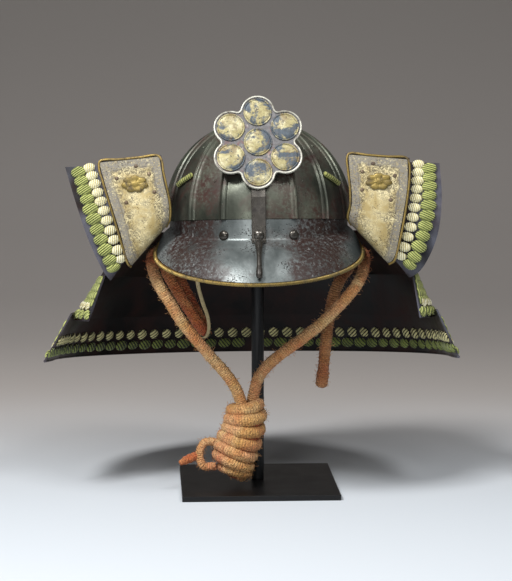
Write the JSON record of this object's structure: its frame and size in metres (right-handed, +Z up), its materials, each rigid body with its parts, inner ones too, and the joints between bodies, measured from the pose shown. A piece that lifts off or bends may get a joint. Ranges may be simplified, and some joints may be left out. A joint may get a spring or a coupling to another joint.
{
  "type": "kabuto samurai helmet and display stand",
  "caption": "Ribbed iron samurai helmet with visor, disc crest, turned-up wings, flared laced neck guard and knotted chin cord, held on a black post stand.",
  "frame": {"origin": "middle of the underside of the stand's base plate", "axes": "+Z up along the stand's post; the helmet's front faces -Y"},
  "size_m": [0.4695, 0.352, 0.4567],
  "materials": {
    "iron_plate": "aged dark iron with russet patina",
    "visor_steel": "aged grey steel with pitting",
    "dark_steel": "darkened steel",
    "gilt_brass": "worn gilt brass",
    "crest_silver": "worn silvered metal",
    "gold_leaf": "flaked gold leaf over grey patina",
    "black_lacquer": "old near-black lacquer",
    "gilded_leather": "gilded leather, speckled with age",
    "green_silk": "braided silk lacing",
    "cream_silk": "braided silk lacing",
    "crepe_cord": "crinkled crepe over a soft core, faded red in patches",
    "thong_leather": "pale soft leather",
    "stand_black": "satin black"
  },
  "bodies": {
    "root": {"bowl_plate_front": "iron_plate", "bowl_plate_back": "iron_plate", "bowl_plate_left_1": "iron_plate", "bowl_plate_left_2": "iron_plate", "bowl_plate_left_3": "iron_plate", "bowl_plate_left_4": "iron_plate", "bowl_plate_left_5": "iron_plate", "bowl_plate_left_6": "iron_plate", "bowl_plate_right_1": "iron_plate", "bowl_plate_right_2": "iron_plate", "bowl_plate_right_3": "iron_plate", "bowl_plate_right_4": "iron_plate", "bowl_plate_right_5": "iron_plate", "bowl_plate_right_6": "iron_plate", "bowl_waist_band": "iron_plate", "bowl_crown_plate": "iron_plate", "visor": "visor_steel", "visor_rim": "gilt_brass", "wing_rim_left": "gilt_brass", "wing_rim_right": "gilt_brass", "wing_emblem_left": "gilt_brass", "wing_emblem_right": "gilt_brass", "visor_rivet_left": "dark_steel", "visor_rivet_right": "dark_steel", "visor_rivet_centre": "dark_steel", "crest_holder": "dark_steel", "crest_plate": "crest_silver", "crest_disc_1": "gold_leaf", "crest_disc_2": "gold_leaf", "crest_disc_3": "gold_leaf", "crest_disc_4": "gold_leaf", "crest_disc_5": "gold_leaf", "crest_disc_6": "gold_leaf", "crest_disc_centre": "gold_leaf", "lame_1": "black_lacquer", "lame_2": "black_lacquer", "lame_3": "black_lacquer", "lame_4": "black_lacquer", "wing_facing_left": "gilded_leather", "wing_facing_right": "gilded_leather", "crown_cord_left": "green_silk", "crown_cord_right": "green_silk", "chin_cord_loop": "crepe_cord", "chin_cord_left_bight": "crepe_cord", "chin_cord_right_end": "crepe_cord", "chin_cord_knot_loop": "crepe_cord", "chin_cord_tail": "crepe_cord", "chin_cord_knot": "crepe_cord", "chin_thong": "thong_leather", "stand_base": "stand_black", "stand_post": "stand_black"}
  },
  "joints": []
}
